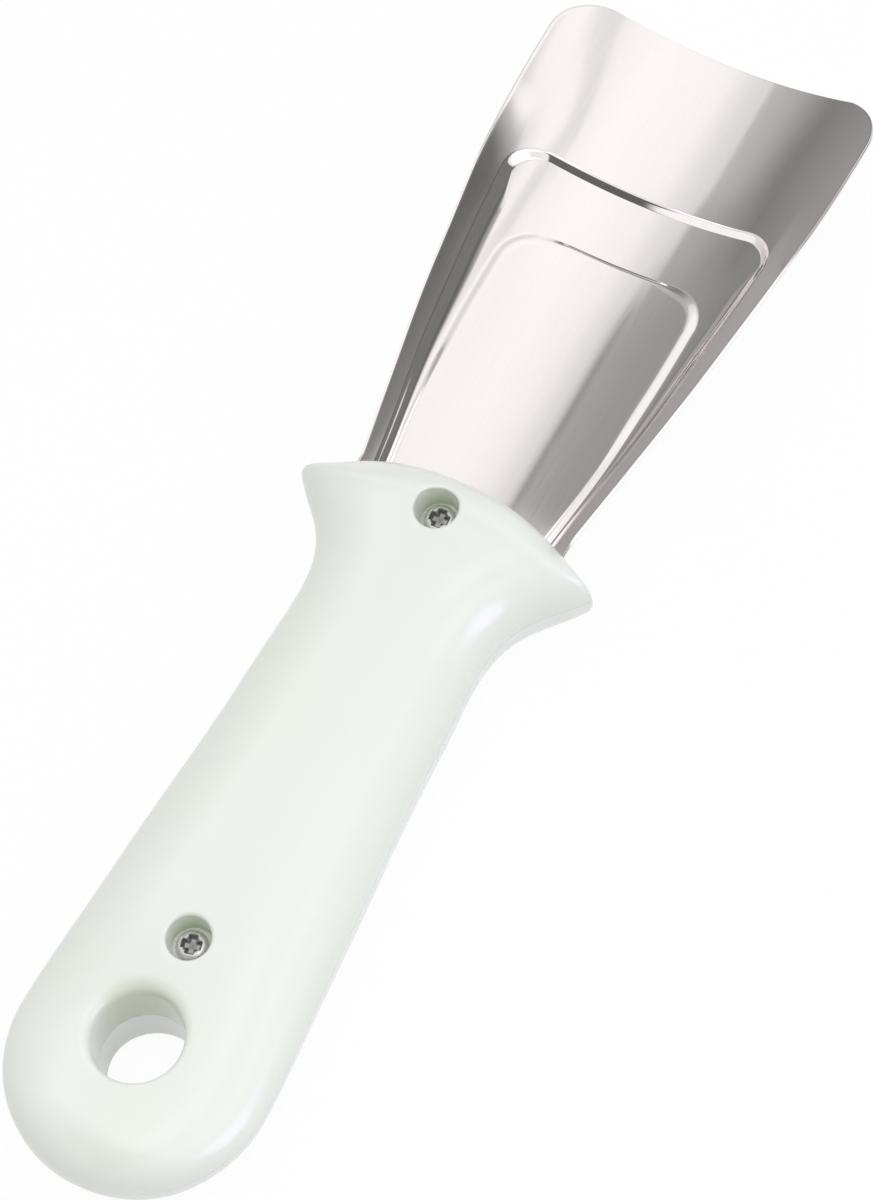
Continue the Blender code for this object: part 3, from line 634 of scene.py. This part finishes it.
def blade_faces():
    """Upper and lower face: the middle of the sheet moved along its normal by half the thickness, which runs
    out to nothing at the rim as a rounded edge. The normal comes from differences of the height."""
    x, y = blade_grid()
    z = sheet_height(x, y)
    d = SLOPE_STEP
    slope_x = (sheet_height(x + d, y) - sheet_height(x - d, y)) / (2.0 * d)
    slope_y = (sheet_height(x, y + d) - sheet_height(x, y - d)) / (2.0 * d)
    normal = np.stack([-slope_x, -slope_y, np.ones_like(z)], 2)
    normal /= np.linalg.norm(normal, axis=2, keepdims=True)
    rim = np.minimum(blade_half(x) - np.abs(y), np.minimum(BLADE_END_X - x, x - TANG_START_X))
    left = 1.0 - np.clip(rim / EDGE_ROUND, 0.0, 1.0)
    thick = 0.5 * SHEET * (1.0 - left ** EDGE_POWER) ** (1.0 / EDGE_POWER)
    middle = np.stack([x, y, z], 2)
    return middle + normal * thick[:, :, None], middle - normal * thick[:, :, None]


def above(x, y):
    """Upper face of the sheet over a point of the flat tang."""
    return sheet_height(x, y) + 0.5 * SHEET


def below(x, y):
    """Lower face of the sheet under a point of the flat tang."""
    return sheet_height(x, y) - 0.5 * SHEET


upper, lower = blade_faces()
rows, columns = upper.shape[:2]
block = block_round(upper, FRONT_SCREW_X, 0.0, *TANG_HOLE_BLOCK)
blade = welded("blade_stamping", [
    (upper, quads(rows, columns, False, [block])), (lower, quads(rows, columns, False, [block])),
    sleeve(rim_of(upper, block), (FRONT_SCREW_X, 0.0), [(TANG_HOLE_RADIUS, above), (TANG_HOLE_RADIUS, below)],
           above, rim_of(lower, block), below, 4)], 50.0)


def polished_stainless():
    """Mirror-rolled sheet: a warm bright steel whose grain runs along the blade. Stretched noise sets fine
    lines in gloss and tone, a broad one lets reflections waver, and a third adds long hair lines that are
    duller."""
    mat, tree, place = new_finish("polished_stainless")

    def drawn_noise(stretch, scale, detail):
        along = new_node(tree, "Mapping", {"Vector": place, "Scale": stretch}).outputs["Vector"]
        return noise(tree, along, scale, detail)

    grain = drawn_noise((0.03, 1.0, 1.0), 2600.0, 3.0)
    waver = drawn_noise((0.35, 1.0, 1.0), 55.0, 2.0)
    hair = drawn_noise((0.015, 1.0, 1.0), 700.0, 1.0)
    wire(tree, tree.nodes["Principled BSDF"], {
        "Metallic": 1.0,
        "Base Color": tone(tree, grain, (0.3, (0.868, 0.828, 0.820)), (0.7, (0.884, 0.844, 0.836))),
        "Roughness": calc(tree, "ADD", spread(tree, grain, 0.25, 0.75, 0.045, 0.07),
                          spread(tree, hair, 0.25, 0.75, 0.0, 0.02)),
        "Normal": bumped(tree, waver, 0.12, 0.0001, Normal=bumped(tree, grain, 0.05, 0.00001))})
    return mat


blade.data.materials.append(polished_stainless())
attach(blade, "root")
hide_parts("blade")

# 3. Front half of the handle.
# The half that closes the handle, in the same plastic: two wells let the screws in, their bosses press
# down inside, and four pins find the sockets. Its front lip follows the blade where the sheet comes out.

WELL_RADIUS = 3.85
WELL_RIM_ROUND = 0.65
HEAD_SEAT_Z = 5.9
SHANK_BORE_RADIUS = 1.7
OVER_TANG_Z = -1.69
PIN_RADIUS, PIN_SHOULDER_Z, PIN_TIP_RADIUS, PIN_TIP_Z = 1.5, -3.3, 1.2, -3.6


def well_rings(boss, foot):
    """A well from its rounded rim down the wall, in over the seat, down the shank's bore and out to the boss,
    each ring as (radius, height)."""
    def under_face(drop):
        return lambda x, y: face_height(x, y) - drop

    rim = [(WELL_RADIUS + WELL_RIM_ROUND * (1.0 - math.cos(a)),
            under_face(WELL_RIM_ROUND * (1.0 - math.sin(a)))) for a in np.linspace(0.5 * math.pi, 0.0, 7)]
    return rim + [(WELL_RADIUS - 0.05, HEAD_SEAT_Z + 0.3), (WELL_RADIUS - 0.3, HEAD_SEAT_Z),
                  (SHANK_BORE_RADIUS, HEAD_SEAT_Z), (SHANK_BORE_RADIUS, foot), (boss, foot)]


posts = [(x, y, *POST_BLOCK, [(POST_RADIUS, MEETING_Z), (PIN_RADIUS, MEETING_Z), (PIN_RADIUS, PIN_SHOULDER_Z),
                              (PIN_TIP_RADIUS, PIN_TIP_Z)]) for x, y in PIN_PLACES]
wells = [(REAR_SCREW_X, 5.9, 16, well_rings(5.2, MEETING_Z)),
         (FRONT_SCREW_X, 6.3, 16, well_rings(5.1, OVER_TANG_Z))]
handle_front = welded("handle_front", shell_patches(1.0, wells, posts))
# Painted shade on the walls of the hole and the wells towards the blade, and painted light that makes their
# other walls paler.
mark_depth(handle_front, 1.0, [(HOLE_X, HOLE_RADIUS - WALL_MARGIN, HOLE_RADIUS + 3.0, 0.52)]
           + [(x, WELL_RADIUS - WALL_MARGIN, WELL_RADIUS + WALL_MARGIN, 1.0)
              for x in (REAR_SCREW_X, FRONT_SCREW_X)])
handle_front.data.materials.append(mint_plastic("mint_plastic", (0.815, 0.835, 0.785), (0.6, 0.69, 0.49)))
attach(handle_front, "root")
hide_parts("handle_front_shell")

# 4. Two screws.
# Plated pan-head steel screws, 5.5 mm across the head with a cross recess, cold headed and then rolled
# with a coarse thread. They go in last, each turned to where it came tight.

HEAD_RADIUS = 2.75
HEAD_HEIGHT = 2.2
HEAD_TOP_Z = 8.4
FLAT_SHARE, ROLLED_SHARE = 0.66, 0.34
WING_HALF, WING_HALF_SLOPE = 0.9, 0.5
WING_LONG, WING_END_SLOPE = 1.9, 0.7
CUP_RADIUS, CUP_SLOPE = 1.75, 1.2
RECESS_DEPTH = 1.2
RECESS_RADIUS = 1.9
# Painted shade round the cross recess: how far out it reaches, and its soft edge.
RECESS_SHADE_RADIUS, RECESS_SHADE_EDGE = 2.05, 0.35
SHANK_LENGTH = 13.0
THREAD_PITCH, THREAD_HEIGHT, THREAD_HALF_SHARE = 1.1, 0.4, 0.28
POINT_SHARE = 0.16
SCREW_SIDES = 144


def head_height(r, turn):
    """Top of the head over the seat: a flat pan with a rolled edge, less the cross, whose four wings taper
    towards the bottom and meet in a cup."""
    s = np.clip(r / HEAD_RADIUS, 0.0, 1.0)
    dome = HEAD_HEIGHT * (FLAT_SHARE + ROLLED_SHARE * (1.0 - s ** 5.0) ** 0.6)
    x, y = np.abs(r * np.cos(turn)), np.abs(r * np.sin(turn))
    long, short = np.maximum(x, y), np.minimum(x, y)
    wing = np.minimum((WING_HALF - short) / WING_HALF_SLOPE, (WING_LONG - long) / WING_END_SLOPE)
    cup = (CUP_RADIUS - r) / CUP_SLOPE
    return dome - RECESS_DEPTH * ease(np.maximum(wing, cup))


def screw(name, x, turned):
    """Head as a polar grid over radius and turn, then a shank whose radius is a sawtooth of height less turn.
    The attribute sunk marks painted shade on the face round the recess, and in the recess by its depth, most
    in its middle."""
    radius = np.concatenate([np.linspace(0.0, RECESS_RADIUS, 46), np.linspace(1.95, HEAD_RADIUS, 16)])
    turn = np.linspace(0.0, 2.0 * math.pi, SCREW_SIDES + 1)[:-1]
    r, a = np.meshgrid(radius, turn, indexing="ij")
    edge = np.array([(HEAD_RADIUS, 0.4), (HEAD_RADIUS, 0.2), (HEAD_RADIUS - 0.1, 0.05),
                     (HEAD_RADIUS - 0.3, 0.0)])
    down = np.linspace(0.0, 1.0, 120)[:, None]
    phase = np.mod(down * SHANK_LENGTH / THREAD_PITCH - turn / (2.0 * math.pi), 1.0)
    thread = 1.0 + THREAD_HEIGHT * np.clip(1.0 - np.abs(phase - 0.5) / THREAD_HALF_SHARE, 0.0, 1.0)
    point = np.clip((1.0 - down) / POINT_SHARE, 0.0, 1.0) ** 0.8
    round_about = np.ones((1, SCREW_SIDES))
    z = np.concatenate([head_height(r, a), edge[:, 1:] * round_about, -SHANK_LENGTH * down * round_about])
    r = np.concatenate([r, edge[:, :1] * round_about, thread * point])
    a = np.broadcast_to(turn, r.shape)
    grid = np.stack([x + r * np.cos(a + turned), r * np.sin(a + turned), HEAD_TOP_Z - HEAD_HEIGHT + z], 2)
    ob = welded(name, [(grid, quads(grid.shape[0], SCREW_SIDES, True))], 55.0)
    px, py, pz = measured(ob, (x, 0.0, HEAD_TOP_Z))
    out = np.hypot(px, py)
    # Painted shade in and round the recess, strongest in its middle.
    sunk = np.clip((RECESS_SHADE_RADIUS - out) / RECESS_SHADE_EDGE, 0.0, 1.0) * np.clip(0.6 - 1.1 * pz, 0.0, 1.0)
    point_attribute(ob, "sunk", sunk * (1.0 - 0.3 * np.clip(out, 0.0, 1.5)))
    return ob


def plated_steel():
    """Bright zinc plate: a cool grey with faint cloudy patches, duller where the noise is high, finely
    pitted, and with painted shade that turns it dark round and down in the recess."""
    mat, tree, place = new_finish("plated_screw_steel")
    cloud, pits = noise(tree, place, 900.0), noise(tree, place, 5200.0)
    plate = tone(tree, cloud, (0.0, (0.66, 0.66, 0.635)), (1.0, (0.86, 0.86, 0.835)))
    # Painted shade: the recess and the face round it mix towards a dark grey by the attribute sunk.
    sunk = new_node(tree, "Attribute", {}, attribute_name="sunk").outputs["Fac"]
    wire(tree, tree.nodes["Principled BSDF"], {
        "Metallic": 1.0,
        "Base Color": mixed(tree, sunk, plate, (0.2, 0.2, 0.19, 1.0)),
        "Roughness": spread(tree, cloud, 0.0, 1.0, 0.22, 0.36),
        "Normal": bumped(tree, pits, 0.15, 0.00003)})
    return mat


zinc = plated_steel()
for name, node, x, turned in (("screw_by_the_collar", "front_screw", FRONT_SCREW_X, 3.0),
                              ("screw_by_the_hole", "rear_screw", REAR_SCREW_X, 14.0)):
    piece = screw(name, x, math.radians(turned))
    piece.data.materials.append(zinc)
    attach(piece, "root")
    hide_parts(node)

# 5. Studio: table, light and camera.
# A white table with the tool lying on its collar, a light tent whose panels show as bands in the steel,
# and a camera above the handle end, a little to the tool's right.

TABLE_REACH = 3.0
TABLE_Z = -0.00022
PAPER_GLOW = 0.94

table_mesh = bpy.data.meshes.new("table_top")
corners = [(-1, -1), (1, -1), (1, 1), (-1, 1)]
table_mesh.from_pydata([(TABLE_REACH * x, TABLE_REACH * y, 0.0) for x, y in corners], [], [(0, 1, 2, 3)])
table = bpy.data.objects.new("table_top", table_mesh)
table.location.z = TABLE_Z
bpy.context.scene.collection.objects.link(table)
paper = bpy.data.materials.new("white_paper")
paper.use_nodes = True
tree = paper.node_tree
diffuse = wire(tree, tree.nodes["Principled BSDF"], {"Base Color": (0.9, 0.9, 0.9, 1.0), "Roughness": 0.9,
                                                     "Specular IOR Level": 0.0}).outputs["BSDF"]
glow = new_node(tree, "Emission", {"Color": (1.0, 1.0, 1.0, 1.0)}).outputs["Emission"]
rays = new_node(tree, "LightPath", {}).outputs
seen = calc(tree, "MAXIMUM", calc(tree, "MAXIMUM", rays["Is Camera Ray"], rays["Is Glossy Ray"]),
            rays["Is Transmission Ray"])
lit = new_node(tree, "MixShader", {"Fac": calc(tree, "MULTIPLY", seen, PAPER_GLOW), 1: diffuse, 2: glow})
wire(tree, tree.nodes["Material Output"], {"Surface": lit.outputs["Shader"]})
table_mesh.materials.append(paper)

world = bpy.data.worlds.new("light_tent")
bpy.context.scene.world = world
world.use_nodes = True
tent = world.node_tree
outward = new_node(tent, "TexCoord", {}).outputs["Generated"]
axes = new_node(tent, "SeparateXYZ", {"Vector": outward}).outputs
turn = spread(tent, calc(tent, "ARCTAN2", axes["Y"], axes["Z"]), -0.5 * math.pi, 0.5 * math.pi, 0.0, 1.0)


def on_arc(degrees):
    """Where a lean lies on the arc, from 0 level on the right over the top to 1 level on the left."""
    return (degrees + 90.0) / 180.0


def panels(stops, along=turn):
    """Brightness of the tent by how far a direction leans from straight up to the left, in degrees."""
    ramp = new_node(tent, "ValToRGB", {"Fac": along})
    for k, (degrees, level) in enumerate(stops):
        at = on_arc(degrees)
        element = ramp.color_ramp.elements[k] if k < 2 else ramp.color_ramp.elements.new(at)
        element.position = at
        element.color = (level, level, level, 1.0)
    return ramp.outputs["Color"]


def blend(low, high, start, end):
    """From one strip of the tent to the next, by a direction's part along the tool."""
    share = spread(tent, axes["X"], start, end, 0.0, 1.0, interpolation_type="SMOOTHSTEP")
    return mixed(tent, share, low, high)


def softbox(under, leans, ahead, reach, level):
    """A round soft lamp in the tent: its light grows as a direction nears the lamp's own direction."""
    lean_angle, ahead_angle = math.radians(leans), math.radians(ahead)
    centre = (math.sin(ahead_angle), math.cos(ahead_angle) * math.sin(lean_angle),
              math.cos(ahead_angle) * math.cos(lean_angle))
    near = new_node(tent, "VectorMath", {0: outward, 1: centre}, operation="DOT_PRODUCT").outputs["Value"]
    share = spread(tent, near, math.cos(math.radians(reach * 1.25)), math.cos(math.radians(reach * 0.7)),
                   0.0, 1.0, interpolation_type="SMOOTHSTEP")
    return mixed(tent, share, under, (*level, 1.0))


# Over the tip the bands fan out: past FAN_RIGHT and FAN_LEFT a lean is drawn in by a share of what lies
# beyond, which on the right runs back to nothing at FAN_RIGHT_BACK. It grows from FAN_FROM_X to FAN_TO_X.
FAN_FROM_X, FAN_TO_X = 0.507, 0.555
FAN_RIGHT, FAN_RIGHT_SHARE = -5.0, 0.58
FAN_RIGHT_BACK, FAN_BACK_SLOPE = -33.0, -2.0
FAN_LEFT, FAN_LEFT_SHARE = 36.0, 0.26
fanning = spread(tent, axes["X"], FAN_FROM_X, FAN_TO_X, 0.0, 1.0)
run_back = calc(tent, "MULTIPLY", calc(tent, "SUBTRACT", turn, on_arc(FAN_RIGHT_BACK)), FAN_BACK_SLOPE)
right_part = calc(tent, "MAXIMUM", calc(tent, "SUBTRACT", turn, on_arc(FAN_RIGHT)), run_back)
right_part = calc(tent, "MINIMUM", right_part, 0.0)
left_part = calc(tent, "MAXIMUM", calc(tent, "SUBTRACT", turn, on_arc(FAN_LEFT)), 0.0)
drawn_in = calc(tent, "ADD", calc(tent, "MULTIPLY", right_part, FAN_RIGHT_SHARE),
                calc(tent, "MULTIPLY", left_part, FAN_LEFT_SHARE))
fanned = calc(tent, "SUBTRACT", turn, calc(tent, "MULTIPLY", drawn_in, fanning))

over_tip = panels([(-90, 0.2), (90, 0.12), (-53, 0.2), (-46, 0.15), (-41, 0.18), (-36, 0.42), (-29.5, 0.76),
                   (-26.5, 0.97), (-24, 1.09), (-13.6, 1.1), (-13, 0.88), (-9.6, 0.85), (-9.1, 1.05),
                   (-4, 1.11), (0, 1.125), (7, 1.1), (19, 1.071), (22, 1.045), (24.5, 0.98), (28, 0.897),
                   (31, 0.835), (35.2, 0.8), (36.6, 0.56), (40, 0.514), (43.5, 0.463), (47, 0.371), (50, 0.3),
                   (53, 0.24), (56, 0.249), (60, 0.28), (72, 0.35), (84, 0.36)], fanned)
over_panel = panels([(-90, 0.2), (90, 0.05), (-53, 0.2), (-46, 0.14), (-42, 0.15), (-33, 0.25), (-25, 0.45),
                     (-20, 0.85), (-17.5, 1.07), (-15.2, 1.07), (-14.7, 0.85), (-12.6, 0.83), (-12.1, 0.98),
                     (-10.5, 1.05), (-4, 1.09), (2, 1.12), (9, 1.1), (14, 1.065), (21, 1.03), (24, 0.96),
                     (27, 0.88), (32, 0.825), (33.8, 0.78), (35.4, 0.46), (40, 0.44), (45, 0.36), (50, 0.29),
                     (54, 0.23), (60, 0.28), (72, 0.36), (84, 0.41), (87.5, 0.4)])
over_root = panels([(-90, 0.2), (90, 0.05), (-53, 0.2), (-46, 0.14), (-42, 0.15), (-32, 0.26), (-29, 0.5),
                    (-19, 0.85), (-14, 0.95), (-11, 1.08), (-6, 1.06), (0, 1.08), (8, 1.09), (14, 1.06),
                    (19, 1.02), (22, 0.975), (26, 0.866), (28.7, 0.81), (30.6, 0.66), (31.7, 0.4),
                    (32.6, 0.3), (34, 0.42), (37, 0.395), (43, 0.362), (50, 0.348), (56, 0.29), (61, 0.25),
                    (66, 0.28), (71, 0.38), (80, 0.4), (84, 0.42), (87.5, 0.4)])
over_handle = panels([(-90, 1.0), (90, 0.8), (-52, 1.05), (-44, 1.9), (-36, 1.9), (-28, 1.0), (10, 0.96),
                      (40, 0.85)])
behind = panels([(-90, 0.9), (90, 1.0), (-30, 1.0), (-24, 0.16), (26, 0.13), (31, 1.1)])
for leans, ahead, reach, level in ((-76.0, -4.0, 17.0, (4.1, 3.5, 6.1)), (-11.0, 7.0, 8.0, (2.0, 2.0, 2.3)),
                                   (34.0, 13.0, 9.0, (2.2, 2.0, 2.1))):
    over_handle = softbox(over_handle, leans, ahead, reach, level)
mirrored = blend(behind, over_handle, -0.42, -0.3)
mirrored = blend(mirrored, over_root, 0.375, 0.405)
mirrored = blend(mirrored, over_panel, 0.474, 0.482)
mirrored = blend(mirrored, over_tip, 0.4965, 0.5025)

FILL_RIGHT = (1.2, 1.24, 1.28, 1.0)
FILL_LEFT = (0.78, 0.765, 0.74, 1.0)
FILL_BEHIND = (0.34, 0.34, 0.34, 1.0)
FILL_LEVEL, FILL_OVERHEAD = 0.64, 0.36
fill = mixed(tent, spread(tent, axes["Y"], -1.0, 1.0, 0.0, 1.0), FILL_RIGHT, FILL_LEFT)
fill = blend(FILL_BEHIND, fill, -1.0, -0.1)
overhead = calc(tent, "ADD", calc(tent, "MULTIPLY", axes["Z"], FILL_OVERHEAD), FILL_LEVEL)
fill = mixed(tent, 1.0, fill, overhead, blend_type="MULTIPLY")
rays = new_node(tent, "LightPath", {}).outputs
shown = mixed(tent, rays["Is Glossy Ray"], fill, mirrored)
shown = mixed(tent, rays["Is Camera Ray"], shown, (1.0, 1.0, 1.0, 1.0))
wire(tent, tent.nodes["Background"], {"Color": shown})

lamp_data = bpy.data.lights.new("front_panel", "AREA")
lamp_data.size = 0.45
lamp_data.energy = 2.3
lamp = bpy.data.objects.new("front_panel", lamp_data)
lamp.location = (-0.22, -0.16, 0.86)
lamp.rotation_euler = lamp.location.to_track_quat("Z", "Y").to_euler()
lamp.visible_glossy = False
bpy.context.scene.collection.objects.link(lamp)

AIM = np.array([-0.0008, 0.0, 0.0126])
IMAGE_RIGHT = np.array([0.4735, -0.8703, -0.1352])
TOWARDS_CAMERA = np.array([-0.3328772, -0.31800194, 0.88773168])

camera_data = bpy.data.cameras.new("camera")
camera_data.lens = 177.0
camera_data.sensor_width = 36.0
camera_data.clip_start = 0.05
camera_data.shift_x = 0.0198
camera_data.shift_y = -0.0031
camera = bpy.data.objects.new("camera", camera_data)
bpy.context.scene.collection.objects.link(camera)
bpy.context.scene.camera = camera
right = IMAGE_RIGHT - TOWARDS_CAMERA * (IMAGE_RIGHT @ TOWARDS_CAMERA)
right = right / np.linalg.norm(right)
up = np.cross(TOWARDS_CAMERA, right)
stand = AIM + TOWARDS_CAMERA
camera.matrix_world = Matrix([(right[k], up[k], TOWARDS_CAMERA[k], stand[k]) for k in range(3)]
                             + [(0.0, 0.0, 0.0, 1.0)])
bpy.context.scene.view_settings.view_transform = "Standard"

bpy.context.view_layer.update()
